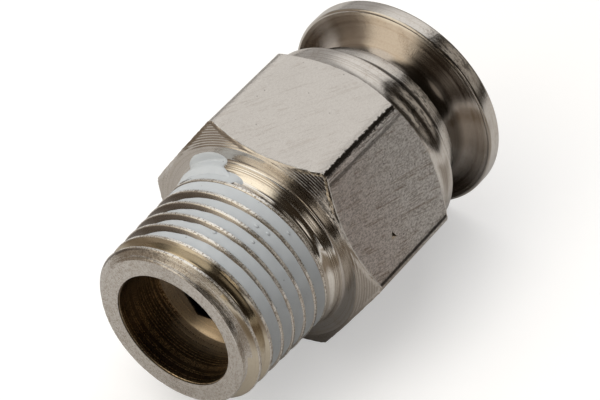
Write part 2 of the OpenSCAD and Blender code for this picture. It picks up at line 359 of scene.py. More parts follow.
def nickelFlats(name):
    f = flats
    material, shader, place, x, y, z = startMaterial(name)
    r = radiusOf(y, z)
    fine = place.noise(*f["fine"])
    grain = place.noise(*f["grain"], stretch=f["grainStretch"])
    mottle = place.noise(*f["mottle"])
    # how near a corner of the hexagon is: the second largest of the three distances to its pairs of flats
    flatA = z.math("ABSOLUTE", z)
    flatB = z.math("ABSOLUTE", y * f["sin60"] + z * 0.5)
    flatC = z.math("ABSOLUTE", y * f["sin60"] - z * 0.5)
    smaller, larger = z.math("MINIMUM", flatA, flatB), z.math("MAXIMUM", flatA, flatB)
    second = z.math("MAXIMUM", smaller, z.math("MINIMUM", larger, flatC))
    cornerGap = (body["af"] / 2 - second) * f["cornerFactor"]
    streak = place.noise(*f["streak"], stretch=f["streakStretch"])
    ragged = (place.noise(*f["ragged"], stretch=f["raggedStretch"]) - 0.5) * f["raggedMost"]
    # the flat to the right of the top one is worn, scratched and pitted more than the others
    side = (z * 0.5 - y * f["sin60"]).ramp(*f["worn"])
    across = y * 0.5 + z * f["sin60"]
    upper = across.ramp(*f["upper"])
    # painted dark reflection: ragged dark bands along the worn flat's upper and lower corners and on the top
    # flat beside the upper one
    corner = (cornerGap + ragged * 1.3).ramp(*f["cornerLine"]) * (side * upper * 0.9 + 0.1)
    topCorner = (cornerGap + ragged).ramp(*f["topLine"]) * y.ramp(*f["topRight"]) * z.ramp(*f["topHeight"])
    chipped = cornerGap.ramp(*f["chipReach"]) * place.noise(*f["chips"], stretch=f["grainStretch"])
    uneven = cornerGap + ragged * 0.3
    drawn = uneven.ramp(*f["drawnReach"]) * side * upper * streak.ramp(*f["drawnLines"])
    lowerLine = uneven.ramp(*f["lowerReach"]) * cornerGap.ramp(*f["lowerGap"])
    lowerLine = lowerLine * side * across.ramp(*f["lower"])
    edgeGap = x - (r - body["faceR"]) * math.tan(math.radians(body["nearSlope"]))
    burr = (edgeGap + ragged * 0.4).ramp(*f["burrReach"])
    slant = axisVector(x * f["slantCos"] - across * f["slantSin"], x * f["slantSin"] + across * f["slantCos"])
    drift = slant.noise(*f["scratches"], stretch=f["scratchStretch"])
    scratch = drift.math("ABSOLUTE", drift - 0.5).ramp(*f["scratchWidth"])
    scratch = scratch * place.noise(*f["scratchArea"]).ramp(*f["scratchMask"]) * (side * 0.75 + 0.25)
    pitSpread = place.noise(*f["pitArea"], shift=f["pitShift"])
    pits = place.spots(f["pitScale"]).ramp(*f["pitSize"]) * (pitSpread + side * 0.06).ramp(*f["pitMask"])
    base = mottle.ramp(0.4, 0.75).mixed(nickel["colour"], f["mottled"])
    base = side.mixed(base, x.ramp(*f["wornSpan"]).mixed(f["wornNear"], f["wornFar"]))
    base = (grain.ramp(0.58, 0.38) * (side * 0.6 + 0.25)).mixed(base, f["grainColour"])
    base = (scratch * 0.6).mixed(base, nickel["tarnishAndShade"])
    base = (drawn * 0.6).mixed(base, nickel["dirtAndShade"])
    # painted highlight along the burr at the hexagon's near edge
    base = (burr * 0.85).mixed(base, nickel["bright"])
    # the corner bands are painted dark: painted dark reflection
    base = (corner * 0.88 + lowerLine * 0.9 + topCorner * 0.75).mixed(base, nickel["dirtAndShade"])
    base = (pits * 0.8).mixed(base, nickel["dirtAndShade"])
    roughness = 0.3 + (fine - 0.5) * 0.2 + side * 0.06 + corner * 0.1 - burr * 0.05
    height = fine * 0.45 + grain * (side + 0.2) * 0.9 - pits * 1.5 - scratch - drawn - corner * streak
    height = height + chipped * 9 + burr * place.noise(*f["burrGrain"]) * 1.6
    dress(shader, base, roughness, bumped(height, 0.5, nickel["relief"]))
    return material


threadNickel = dict(
    fine=(11, 3, 0.7), mottle=(0.9, 3, 0.6), lines=(13, 2, 0.6), nicks=(7.5, 2, 0.6), nickMask=(0.54, 0.62),
    crestR=(4.92, 4.955),                         # the taper's crests, carried on to the hexagon's face
    pale=(0.46, 0.425, 0.39, 1), dull=(0.43, 0.385, 0.335, 1),
    shaded=(0.21, 0.19, 0.18, 1), shadedLeft=(-0.8, 1.2),
)


def nickelThread(name):
    t = threadNickel
    material, shader, place, x, y, z = startMaterial(name)
    r = radiusOf(y, z)
    fine = place.noise(*t["fine"])
    mottle = place.noise(*t["mottle"])
    lines = axisVector(x, r).noise(*t["lines"])
    crest = (r - x * body["taper"]).ramp(*t["crestR"])
    nicks = place.noise(*t["nicks"]).ramp(*t["nickMask"]) * crest
    base = mottle.ramp(0.35, 0.75).mixed(t["pale"], t["dull"])
    base = (y.ramp(*t["shadedLeft"]) * 0.75).mixed(base, t["shaded"])
    # painted highlight on the thread's crests
    base = (crest * 0.9).mixed(base, nickel["bright"])
    base = (nicks * 0.65).mixed(base, nickel["tarnishAndShade"])
    roughness = 0.27 + (fine - 0.5) * 0.12 + (lines - 0.5) * 0.15
    dress(shader, base, roughness, bumped(fine * 0.25 + lines * 0.4 - nicks, 0.4, nickel["relief"]))
    return material


bore = dict(
    rings=(11.0, 1, 0.5), fine=(14, 3, 0.7), mottle=(1.1, 3, 0.6), relief=0.015,
    # the bore's own colours are painted dark: painted shade in the deep bore
    pale=(0.27, 0.21, 0.15, 1), dull=(0.18, 0.135, 0.09, 1),
    sparkle=(0.80, 0.63, 0.40, 1), sparkleHeight=(0.5, -2.0),
    lit=(0.80, 0.72, 0.61, 1), floorR=(3.28, 3.2), glintX=(-5.6, -4.5), glintHeight=(-2.5, -3.1),
    deep=(0.03, 0.024, 0.018, 1), deepX=(-4.1, -4.0),            # past the floor hardly any light returns
)


def boreNickel(name):
    b = bore
    material, shader, place, x, y, z = startMaterial(name)
    r = radiusOf(y, z)
    rings = axisVector(x, r).noise(*b["rings"])
    fine = place.noise(*b["fine"])
    mottle = place.noise(*b["mottle"])
    # painted shade: the bore's wall is dark all over
    base = mottle.ramp(0.35, 0.7).mixed(b["pale"], b["dull"])
    base = (rings.ramp(0.52, 0.4) * 0.25).mixed(base, nickel["dirtAndShade"])
    base = (fine.ramp(0.5, 0.38) * 0.4).mixed(base, nickel["dirtAndShade"])
    # painted glints: golden sparkle on the lower wall of the bore
    sparkle = rings.ramp(0.48, 0.62) * fine.ramp(0.44, 0.6) * z.ramp(*b["sparkleHeight"])
    base = sparkle.mixed(base, b["sparkle"])
    glint = x.ramp(*b["glintX"]) * z.ramp(*b["glintHeight"])
    base = x.math("MAXIMUM", r.ramp(*b["floorR"]) * 0.6, glint).mixed(base, b["lit"])
    base = x.ramp(*b["deepX"]).mixed(base, b["deep"])
    roughness = 0.3 + (rings - 0.5) * 0.15 + (fine - 0.5) * 0.15
    dress(shader, base, roughness, bumped(rings * 0.9 + fine * 0.5, 0.8, b["relief"]))
    return material


coat = dict(
    mottle=(1.2, 3, 0.55), fine=(12, 2, 0.5), relief=0.03, shine=0.45,
    holeScale=2.6, holeSize=(0.11, 0.05), holeArea=(1.9, 1, 0.5), areaMask=(0.55, 0.62),
    grey=(0.46, 0.49, 0.52, 1), pale=(0.55, 0.58, 0.60, 1), hole=(0.08, 0.08, 0.09, 1),
)


def sealantCoat(name):
    material, shader, place = startMaterial(name)[:3]
    mottle = place.noise(*coat["mottle"])
    fine = place.noise(*coat["fine"])
    holes = place.spots(coat["holeScale"]).ramp(*coat["holeSize"])
    holes = holes * place.noise(*coat["holeArea"]).ramp(*coat["areaMask"])
    base = mottle.mixed(coat["grey"], coat["pale"])
    # painted shade in the pinholes, which are only bumps
    base = (holes * 0.85).mixed(base, coat["hole"])
    plug(shader, "Specular IOR Level", coat["shine"])
    normal = bumped(fine * 0.4 + mottle * 0.8 - holes, 0.35, coat["relief"])
    dress(shader, base, 0.42 + fine * 0.12, normal, metallic=0.0)
    return material


def sealRubber(name, grain=(10, 3, 0.6), relief=0.02,
               black=(0.012, 0.012, 0.013, 1), grey=(0.03, 0.03, 0.032, 1)):
    material, shader, place = startMaterial(name)[:3]
    fine = place.noise(*grain)
    dress(shader, fine.mixed(black, grey), 0.42 + fine * 0.2, bumped(fine, 0.3, relief), metallic=0.0)
    return material


def turnedBrass(name, lines=(14, 3, 0.7), stain=(1.2, 3, 0.6),
                pale=(0.80, 0.60, 0.28, 1), deep=(0.62, 0.44, 0.19, 1)):
    material, shader, place, x, y, z = startMaterial(name)
    rings = axisVector(x, radiusOf(y, z)).noise(*lines)
    base = place.noise(*stain).ramp(0.35, 0.75).mixed(pale, deep)
    dress(shader, base, 0.22 + (rings - 0.5) * 0.25, bumped(rings, 0.4, nickel["relief"]))
    return material


def springSteel(name, lines=(9, 3, 0.6), drawn=(1, 1, 6), stain=(1.5, 3, 0.6), relief=0.01,
                grey=(0.52, 0.52, 0.53, 1), pale=(0.62, 0.62, 0.63, 1)):
    material, shader, place = startMaterial(name)[:3]
    grain = place.noise(*lines, stretch=drawn)
    base = place.noise(*stain).mixed(grey, pale)
    dress(shader, base, 0.24 + (grain - 0.5) * 0.2, bumped(grain, 0.3, relief))
    return material


# Body: threaded shank, hexagon and barrel in one skin of rings, through the bore and back over the outside

body = dict(
    columns=288, crowding=0.72, gather=0.004, weld=2e-4,      # round the axis, closer at the corners
    threadD=9.728, gauge=4.0, taper=1 / 32, pitch=0.907, crestPhase=-6.195,
    height=0.58, crestHalf=0.06, cornerDrop=0.04, flank=math.tan(math.radians(27.5)), rootRound=0.06,
    nick=0.02, nickSize=0.16, nickDepth=0.12,
    endChamfer=0.42, endReach=0.22,                           # its lines: (share of the reach, depth)
    endLines=((0.88, 0.03), (0.78, 0), (0.6, 0), (0.5, 0.035), (0.38, 0), (0.2, 0), (0.1, 0.015), (0, 0.03)),
    endRings=14, endLine=0.01, endInset=0.2, endSink=0.012, wear=0.012, wearSize=0.13, bruise=1.4,
    reliefStart=-1.22, reliefDepth=0.27, reliefForm=0.8,
    neckStart=-0.6, neckR=5.0, neckFillet=0.2, neckLine=0.02, neckLines=(-0.33, -0.45), neckLineHalf=0.03,
    portR=3.3, mouth=0.08,                                    # its form in mouths: (along, outwards)
    mouthForm=((0.4, 0.5), (1.2, 0.4), (1.6, 0), (4, 0)),
    portFloor=-4.3, floorLength=0.15, floorForm=((-0.06, 0), (0.03, 0.05)),
    keyAf=4.0, keyTurn=52, keyLand=1.02, keyLead=0.1,
    tubeStop=-0.97, stopR=2.7, socketR=3.1, glandR=4.24, glandStart=1.13, glandEnd=2.73, seatR=4.59,
    af=12.0, cornerRound=0.35, hexLength=7.65, faceR=5.85, faceRings=(5.6, 5.4), nearSlope=36, farSlope=40,
    hexEdge=0.05,                                             # in these: (along the flat, down the chamfer)
    farEdge=((0, 1), (0.18, 0.18), (1, 0), (2.4, 0)), nearEdge=((2.4, 0), (1, 0), (0.1, -0.25), (0, 1)),
    burr=0.035, burrSize=0.12, burrRise=0.02, burrFine=0.4, insideBox=0.001,
    toolStep=0.05, toolDepth=0.028, toolInset=1.6, toolFade=0.1,
    pits=((2.97, -1.77, 0.42, 200), (3.635, -2.12, 0.1, 70), (4.57, 0.84, 0.1, 40), (4.98, 2.05, 0.08, 10),
          (4.46, 1.57, 0.08, 55), (6.34, 0.23, 0.1, 30)),     # along the axis, across the flat, size, turn
    pitSink=0.1, pitDepth=0.9,
    barrelR=5.85, barrelRound=0.15, barrelFaceR=5.2, arcSteps=5,
    grooveEnd=8.45, grooveDepth=0.07, grooveSteps=10,
)
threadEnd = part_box("body")[0].x / mm
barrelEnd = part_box("body")[1].x / mm
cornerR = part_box("body")[1].y / mm
pitch = body["pitch"]


def majorR(x):
    return body["threadD"] / 2 + (x - threadEnd - body["gauge"]) * body["taper"]


def flankPlace(depth):                          # distance from the crest's middle to the flank, this deep
    return body["crestHalf"] + body["cornerDrop"] + (depth - body["cornerDrop"]) * body["flank"]


def threadOutline():                            # half a pitch of (distance from the crest, depth)
    deep, soft = body["height"], body["rootRound"]
    return [(0, 0), (body["crestHalf"], 0), (flankPlace(body["cornerDrop"]), body["cornerDrop"]),
            (flankPlace(deep * 0.5), deep * 0.5), (flankPlace(deep - soft), deep - soft),
            (0.5 * (flankPlace(deep) + pitch / 2), deep - 0.2 * soft), (pitch / 2, deep)]


def threadDepth(distance):                      # depth at a distance along the axis from any crest
    away = abs((distance + pitch / 2) % pitch - pitch / 2)
    points = threadOutline()
    for (a, deepA), (b, deepB) in zip(points, points[1:]):
        if away <= b:
            return deepA + (deepB - deepA) * (away - a) / max(b - a, 1e-9)
    return points[-1][1]


def crowd(turn):                                # draws the columns together at the hexagon's corners
    return turn - body["crowding"] / 6 * math.sin(6 * turn)


def hexR(turn):                                 # radius of the round cornered hexagon, flats square to Z
    half, soft, quarter = body["af"] / 2, body["cornerRound"], math.pi / 6
    away = abs((turn + quarter) % (2 * quarter) - quarter)           # from the nearest corner
    centre = (half - soft) / math.cos(quarter)
    if away > quarter - math.atan((half - soft) * math.tan(quarter) / half):
        return half / math.cos(quarter - away)
    return centre * math.cos(away) + math.sqrt(soft ** 2 - (centre * math.sin(away)) ** 2)


def putVertex(vert, x, r, turn):
    vert.co = (x * mm, r * math.cos(turn) * mm, r * math.sin(turn) * mm)


def applyHelix(piece, rise, steps, angle=2 * math.pi, iterations=1):
    helix = piece.modifiers.new("helix", "SCREW")
    helix.axis = "X"
    helix.angle = angle
    helix.screw_offset = rise * mm
    helix.iterations = iterations
    helix.steps = helix.render_steps = steps
    bpy.ops.object.modifier_apply(modifier="helix")


def makeThread():
    half = threadOutline()
    firstCrest = body["crestPhase"] + pitch * 0.25              # on the upper half of the XZ plane
    firstCrest -= pitch * math.ceil((firstCrest - threadEnd) / pitch + 1)
    turns = math.ceil((body["neckStart"] - firstCrest) / pitch) + 1
    onePitch = [(firstCrest + u, d) for u, d in half]
    onePitch += [(firstCrest + pitch - u, d) for u, d in reversed(half[:-1])]
    gaugeR = body["threadD"] / 2
    piece = drawOutline("fittingBody", [(x, gaugeR - d) for x, d in onePitch])
    bpy.ops.object.mode_set(mode="OBJECT")
    applyHelix(piece, pitch, body["columns"], iterations=turns)
    return piece


def endEdgeR(turn):                             # where the thread meets the rings of the end chamfer
    edge = threadEnd + body["endReach"]
    crest = body["crestPhase"] + pitch * turn / (2 * math.pi)
    chamferR = majorR(threadEnd) - body["endChamfer"] + body["endReach"]
    return min(chamferR, majorR(edge) - threadDepth(edge - crest))


def placeThread(vert, columnLayer):
    x = vert.co.x / mm
    depth = body["threadD"] / 2 - math.hypot(vert.co.y, vert.co.z) / mm
    column = math.atan2(vert.co.z, vert.co.y)
    turn = crowd(column)
    x += pitch * (turn - column) / (2 * math.pi)
    vert[columnLayer] = column
    if x <= threadEnd + body["endReach"] + body["gather"]:       # gathered on the end chamfer's edge
        putVertex(vert, threadEnd + body["endReach"], endEdgeR(turn), turn)
        return
    if x >= body["neckStart"] - body["gather"]:                  # gathered on the neck's edge
        putVertex(vert, body["neckStart"], body["neckR"] - body["neckLine"], turn)
        return
    r = majorR(x) - depth
    nick = wobbleAt(x, r, turn, body["nickSize"])
    r -= body["nick"] * max(nick, 0) * (1 - between(0.0, body["nickDepth"], depth))
    r = min(r, majorR(threadEnd) - body["endChamfer"] + x - threadEnd)
    if x > body["reliefStart"]:                                  # turned relief before the neck
        share = (x - body["reliefStart"]) / (body["neckStart"] - body["reliefStart"])
        edgeR = majorR(body["reliefStart"])
        dip = body["reliefDepth"] * math.sin(math.pi * share) ** body["reliefForm"]
        r = edgeR + (body["neckR"] - edgeR) * share - dip
    putVertex(vert, x, r, turn)


def selectRing(mesh, x):
    for vert in mesh.verts:
        vert.select = abs(vert.co.x - x * mm) < 1e-7
    mesh.select_flush(True)
    mesh.select_flush(False)


# A ring of the body is a function of the column: it gives the place along the axis, the radius and the turn

def plainRing(x, r):
    return lambda column: (x, r, crowd(column))


def plainRings(points):
    return [plainRing(x, r) for x, r in points]


def edgeRing(along, deep):                      # the end chamfer, with turned lines and bruises
    chamferR = majorR(threadEnd) - body["endChamfer"] + along * body["endReach"]

    def ring(column):
        turn = crowd(column)
        r = min(chamferR, endEdgeR(turn)) - deep
        bruise = wobbleAt(2, r, turn, body["bruise"] * body["wearSize"])
        x = threadEnd + along * body["endReach"] + body["wear"] * max(bruise, 0)
        return (x, r - body["wear"] * max(bruise, -0.3), turn)
    return ring


def endRing(step):                              # the end face, with faint turned lines and worn, uneven edges
    outerR = majorR(threadEnd) - body["endChamfer"] - body["endInset"]
    innerR = body["portR"] + body["mouth"]
    share = step / body["endRings"]
    r = outerR + (innerR - outerR) * share

    def ring(column):
        turn = crowd(column)
        rough = wobbleAt(1, r, turn, body["wearSize"])
        dip = body["endLine"] * (step % 2) + body["wear"] * max(rough, 0)
        edgeDrop = body["wear"] * (2 * abs(share - 0.5)) ** 8 * (1.5 + rough)
        return (threadEnd + body["endSink"] + dip + edgeDrop, r, turn)
    return ring


def keyRing(x=None, reach=1.0):                 # the key's hexagon, on the drilled floor where x is left out
    keySide = body["keyAf"] / 2
    keyShift = math.radians(body["keyTurn"] % (360 / body["columns"]))

    def ring(column):
        turn = column + keyShift
        away = (turn - math.radians(body["keyTurn"] - 30) + math.pi / 6) % (math.pi / 3) - math.pi / 6
        r = keySide / math.cos(away) * reach
        rise = (body["portR"] - r) / (body["portR"] - keySide) * body["floorLength"]
        return (body["portFloor"] + rise if x is None else x, r, turn)
    return ring


def hexRing(edgeX, slope, startR, flat, cone, topR=None):       # beside the edge of chamfer and flats
    lean = math.radians(slope)
    away = 1 if edgeX == 0 else -1

    def ring(column):
        turn = crowd(column)
        r = hexR(turn)
        ragged = body["burr"] * wobbleAt(edgeX, r, turn, body["burrSize"]) if topR is None else 0
        x = edgeX + away * ((r - startR) * math.tan(lean) + ragged)
        x, r = x + away * (flat - cone * math.sin(lean)), r - cone * math.cos(lean)
        if topR and topR < r:
            x, r = edgeX + away * (topR - startR) * math.tan(lean), topR
        if cone < 0:                            # the proud burr comes and goes
            r += body["burrRise"] * wobbleAt(x * 3, r, turn, body["burrFine"] * body["burrSize"])
        return (x, min(r, cornerR - body["insideBox"]), turn)
    return ring


def toolRing(step):                             # a turned line on the corner chamfers, every second one deep
    inset = body["toolInset"] * body["hexEdge"]
    topR = body["faceR"] + step * body["toolStep"]
    chamferRing = hexRing(0, body["nearSlope"], body["faceR"], 0, inset, topR)
    deep = body["toolDepth"] * (step % 2)

    def ring(column):
        x, r, turn = chamferRing(column)
        return (x + deep * between(0.0, body["toolFade"], hexR(turn) - r - inset), r, turn)
    return ring


def boreRings():                                # from the thread's end through the bore to the barrel's end
    mouth, port, floor, stop = body["mouth"], body["portR"], body["portFloor"], body["tubeStop"]
    soft, seat = body["barrelRound"], body["seatR"]
    rings = [edgeRing(along, deep) for along, deep in body["endLines"]]
    rings += [endRing(step) for step in range(body["endRings"] + 1)]
    rings += plainRings([(threadEnd + along * mouth, port + out * mouth) for along, out in body["mouthForm"]])
    rings += plainRings([(floor + along, port - inwards) for along, inwards in body["floorForm"]])
    rings += [keyRing(reach=body["keyLand"]), keyRing()]
    rings += [keyRing(floor + body["floorLength"] + body["keyLead"]), keyRing(stop)]
    rings += plainRings([(stop, body["stopR"]), (stop, body["socketR"])])
    rings += plainRings([(body["glandStart"], body["socketR"]), (body["glandStart"], body["glandR"])])
    rings += plainRings([(body["glandEnd"], body["glandR"]), (body["glandEnd"], seat)])
    rings += plainRings([(barrelEnd - soft, seat), (barrelEnd, seat + soft)])
    rings += plainRings([(barrelEnd, body["barrelFaceR"])])
    return rings


def outsideRings():                             # over the barrel, its groove and the hexagon back to the neck
    soft, edge, steps = body["barrelRound"], body["hexEdge"], body["arcSteps"]
    fillet, neck, line, half = body["neckFillet"], body["neckR"], body["neckLine"], body["neckLineHalf"]
    rings = plainRings(arc(barrelEnd - soft, body["barrelR"] - soft, soft, 0, 90, steps))
    for i in range(body["grooveSteps"] + 1):
        share = i / body["grooveSteps"]
        x = body["grooveEnd"] + (body["hexLength"] - body["grooveEnd"]) * share
        rings.append(plainRing(x, body["barrelR"] - body["grooveDepth"] * 4 * share * (1 - share)))
    rings += [hexRing(body["hexLength"], body["farSlope"], body["barrelR"], flat * edge, cone * edge)
              for flat, cone in body["farEdge"]]
    rings += [hexRing(0, body["nearSlope"], body["faceR"], flat * edge, cone * edge)
              for flat, cone in body["nearEdge"]]
    toolLines = int((hexR(0) - body["faceR"]) / body["toolStep"])
    rings += [toolRing(step) for step in range(toolLines, 0, -1)]
    rings += plainRings([(0, body["faceR"])] + [(0, r) for r in body["faceRings"]])
    rings += plainRings(arc(-fillet, neck + fillet, fillet, 0, -90, steps))
    for x in body["neckLines"]:
        rings += plainRings([(x + half, neck), (x, neck - line), (x - half, neck)])
    rings += plainRings([(body["neckStart"] + half, neck), (body["neckStart"], neck - line)])
    return rings


def makeBody():
    piece = makeThread()
    bpy.ops.object.mode_set(mode="EDIT")
    mesh = bmesh.from_edit_mesh(piece.data)
    column = mesh.verts.layers.float.new("column")
    for vert in mesh.verts:
        placeThread(vert, column)
    bmesh.update_edit_mesh(piece.data)
    bpy.ops.mesh.select_mode(type="VERT")
    bpy.ops.mesh.select_all(action="SELECT")
    bpy.ops.mesh.remove_doubles(threshold=body["weld"] * mm)
    bpy.ops.mesh.select_all(action="DESELECT")
    mesh = bmesh.from_edit_mesh(piece.data)
    selectRing(mesh, threadEnd + body["endReach"])
    bmesh.update_edit_mesh(piece.data)
    for ring in boreRings() + outsideRings():
        bpy.ops.mesh.extrude_region_move()
        mesh = bmesh.from_edit_mesh(piece.data)
        column = mesh.verts.layers.float["column"]
        for vert in mesh.verts:
            if vert.select:
                putVertex(vert, *ring(vert[column]))
        bmesh.update_edit_mesh(piece.data)
    mergeAndTurnOut()
    bpy.ops.object.mode_set(mode="OBJECT")
    return piece


def pitFlat(piece):                              # three sided dents in the worn flat
    out, across = Vector((0, -flats["sin60"], 0.5)), Vector((0, 0.5, flats["sin60"]))
    dents = []
    for x, up, size, turn in body["pits"]:
        place = Vector((x, 0, 0)) + across * up + out * (body["af"] / 2 - body["pitSink"] * size)
        deselectAll()
        depth = body["pitDepth"] * size
        bpy.ops.mesh.primitive_cone_add(vertices=3, radius1=size * mm, radius2=0, depth=depth * mm)
        dent = bpy.context.active_object
        editAll()
        bpy.ops.transform.rotate(value=math.radians(turn), orient_axis="Z", center_override=(0, 0, 0))
        bpy.ops.object.mode_set(mode="OBJECT")
        dent.rotation_euler = (-out).to_track_quat("Z", "X").to_euler()
        dent.location = place * mm
        bpy.ops.object.transform_apply()
        dents.append(dent)
    makeActive(dents[0])
    for dent in dents:
        dent.select_set(True)
    bpy.ops.object.join()
    cutAway(piece, dents[0])


bodyFinish = dict(
    turned=dict(depth=0.26, patches=0.8, scuffTurn=127, scuffR=5.5),
    end=dict(lines=14.0, depth=0.8, rough=0.24, grime=0.3, patches=0.45, grain=0.55,
             clean=(0.69, 0.66, 0.62, 1), scuffTurn=75, scuffR=4.32),
    neck=dict(lines=9.0, depth=0.35, rough=0.13, grime=0.35, patches=0.1, grain=0.1, clean=nickel["bright"]),
    groove=dict(lines=9.0, depth=0.35, rough=0.15, grime=0.35, patches=0.1, grain=0.1,
                clean=(0.64, 0.575, 0.465, 1)),
    endDepth=0.45, chamferDepth=0.3, margin=0.02,
    bareRight=2.1, bareLeft=1.5, bareHeight=0.5, bareDepth=0.12,     # the first groove has no sealant in it
    flatTilt=0.1, flatRise=0.05,
)


def paintBody(piece):
    p = bodyFinish
    finishes = dict(turned=nickelTurned("nickelTurned", **p["turned"]), flats=nickelFlats("nickelFlats"),
                    thread=nickelThread("nickelThread"), bore=boreNickel("boreNickel"),
                    end=nickelTurned("nickelEnd", **p["end"]), neck=nickelTurned("nickelNeck", **p["neck"]),
                    groove=nickelTurned("nickelGroove", **p["groove"]))
    for material in finishes.values():
        piece.data.materials.append(material)
    order = list(finishes)
    inner = body["portR"] + 0.5 * body["mouth"]
    endR = majorR(threadEnd) - body["endChamfer"]
    for face in piece.data.polygons:
        x, y, z = (value / mm for value in face.center)
        r = math.hypot(y, z)
        chamferR = endR + min(x - threadEnd, p["chamferDepth"]) + p["margin"]
        kind = "turned"
        if inner < r < chamferR and x < threadEnd + p["endDepth"]:
            kind = "end"
        elif x < body["reliefStart"] and r > inner:
            bareEnd = threadEnd + p["bareRight" if y < 0 and z < p["bareHeight"] else "bareLeft"]
            kind = "groove" if x < bareEnd and majorR(x) - r > p["bareDepth"] else "thread"
        elif x < -0.5 * body["neckFillet"] and r > inner:
            kind = "neck"
        elif r < inner or (r < body["seatR"] + p["margin"] and x > 0):
            kind = "bore"
        elif 0 < x < body["hexLength"] and r > body["barrelR"] + p["flatRise"]:
            kind = "flats" if abs(face.normal.x) < p["flatTilt"] else "turned"
        face.material_index = order.index(kind)


fittingBody = makeBody()
pitFlat(fittingBody)
paintBody(fittingBody)
smoothFaces(fittingBody, 30)
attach(fittingBody, "fitting")
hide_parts("body")
print("body:", len(fittingBody.data.polygons), "faces")


# Sealant: a bead along the groove, and a tongue that ran over the neck on to the hexagon's face

sealant = dict(
    start=-100, end=1890, steps=200, across=8,   # degrees along the helix, steps to a turn, strips across
    drawnWidth=0.8, drawnFloor=0.12, floorSpread=0.3, floorDepth=0.64,
    levelLow=0.045, levelSwing=0.42, levelMost=0.34, levelTurn=160,
    unevenness=0.03, unevenSize=0.7, unevenR=5,
    fullLevel=0.05, fullStart=-2.55, fullEnd=-2.1,            # the last groove and the relief are full
    tuck=0.04, dish=0.02, endTurn=14, endLevel=0.02,
    tongueMiddle=52, tongueHalf=16.5, tongueFoot=9, tongueStart=-0.95, tongueR=5.52, tongueThick=0.09,
    tongueSink=0.025, tongueWall=0.06, tongueGrid=(36, 44), tongueShoulder=0.62, tongueTaper=0.85,
    tongueFootEnd=0.45, tongueWave=0.08, tongueWaveSize=0.4, tongueRise=(-0.1, 0.3),
    blisters=((-2.72, 112), (-2.62, 120), (-3.55, 117), (-3.1, 84), (-4.4, 96), (-1.75, 128)),
    blisterR=0.1, blisterForm=(0.8, 1.3, 0.55), blisterFaces=(16, 10),
)


def grooveX(turn):                               # middle of the groove, turn in radians along the helix
    return body["crestPhase"] + pitch * (0.5 + turn / (2 * math.pi))


def fillDepth(turn, x):                          # how far the bead's top lies below the crests
    swing = 0.5 - 0.5 * math.cos(turn - math.radians(sealant["levelTurn"]))
    deep = min(sealant["levelLow"] + sealant["levelSwing"] * swing, sealant["levelMost"])
    deep += sealant["unevenness"] * wobbleAt(x, sealant["unevenR"], turn, sealant["unevenSize"])
    return deep + (sealant["fullLevel"] - deep) * between(sealant["fullStart"], sealant["fullEnd"], x)


def makeBead():
    start, end = math.radians(sealant["start"]), math.radians(sealant["end"])
    width = sealant["drawnWidth"] * pitch
    topR = body["threadD"] / 2
    floorR = topR - sealant["floorDepth"]
    middle = grooveX(start)
    outline = [(middle + width * (i / sealant["across"] - 0.5), topR) for i in range(sealant["across"] + 1)]
    outline += [(middle + side * sealant["drawnFloor"] * width, floorR) for side in (1, -1)]
    piece = drawOutline("threadSealant", outline + outline[:1])
    bpy.ops.mesh.select_all(action="SELECT")
    bpy.ops.transform.rotate(value=math.pi / 2 - start, orient_axis="X", center_override=(0, 0, 0))
    bpy.ops.mesh.remove_doubles(threshold=1e-6)
    bpy.ops.object.mode_set(mode="OBJECT")
    turns = (end - start) / (2 * math.pi)
    applyHelix(piece, pitch * turns, int(sealant["steps"] * turns), end - start)
    for vert in piece.data.vertices:
        placeBeadVertex(vert, start, end)
    bpy.ops.object.mode_set(mode="EDIT")
    bpy.ops.mesh.select_mode(type="EDGE")
    bpy.ops.mesh.select_all(action="DESELECT")
    bpy.ops.mesh.select_non_manifold()
    bpy.ops.mesh.edge_face_add()
    mergeAndTurnOut()
    bpy.ops.mesh.select_mode(type="VERT")
    bpy.ops.object.mode_set(mode="OBJECT")
    return piece


def placeBeadVertex(vert, start, end):
    x, r = vert.co.x / mm, math.hypot(vert.co.y, vert.co.z) / mm
    turn = math.atan2(vert.co.z, vert.co.y)
    turn += 2 * math.pi * round((x - grooveX(turn)) / pitch)
    middle = grooveX(turn)
    share = (x - middle) / (sealant["drawnWidth"] * pitch) * 2       # -1 to 1 across the groove
    if r < body["threadD"] / 2 - 0.5 * sealant["floorDepth"]:
        floorX = middle + share * sealant["floorSpread"] * pitch
        putVertex(vert, floorX, majorR(middle) - sealant["floorDepth"], turn)
        return
    ending = min(turn - start, end - turn) / math.radians(sealant["endTurn"])
    swell = math.sqrt(max(1 - (1 - min(max(ending, 0), 1)) ** 2, 0))
    deep = fillDepth(turn, x)
    deep += (body["height"] - sealant["endLevel"] - deep) * (1 - swell)
    half = pitch / 2 - flankPlace(deep) + sealant["tuck"]
    deep += sealant["dish"] * (1 - share ** 2) * swell
    placeX = middle + share * half
    putVertex(vert, placeX, majorR(placeX) - deep, turn)


def tonguePath(along):                           # place, radius and outward direction, relief to face
    fillet, neck, edge = body["neckFillet"], body["neckR"], body["neckStart"]
    start = sealant["tongueStart"]
    startR = majorR(start) - sealant["fullLevel"] - sealant["tongueSink"]
    climb = math.hypot(edge - start, neck - startR)
    lengths = [climb, -fillet - edge, fillet * math.pi / 2, sealant["tongueR"] - neck - fillet]
    go = along * sum(lengths)
    if go < lengths[0]:
        share = go / climb
        return start + (edge - start) * share, startR + (neck - startR) * share, 0, 1
    go -= lengths[0]
    if go < lengths[1]:
        return edge + go, neck, 0, 1
    go -= lengths[1]
    if go < lengths[2]:
        a = go / fillet
        return -fillet * (1 - math.sin(a)), neck + fillet * (1 - math.cos(a)), -math.sin(a), math.cos(a)
    return 0, neck + fillet + go - lengths[2], -1, 0


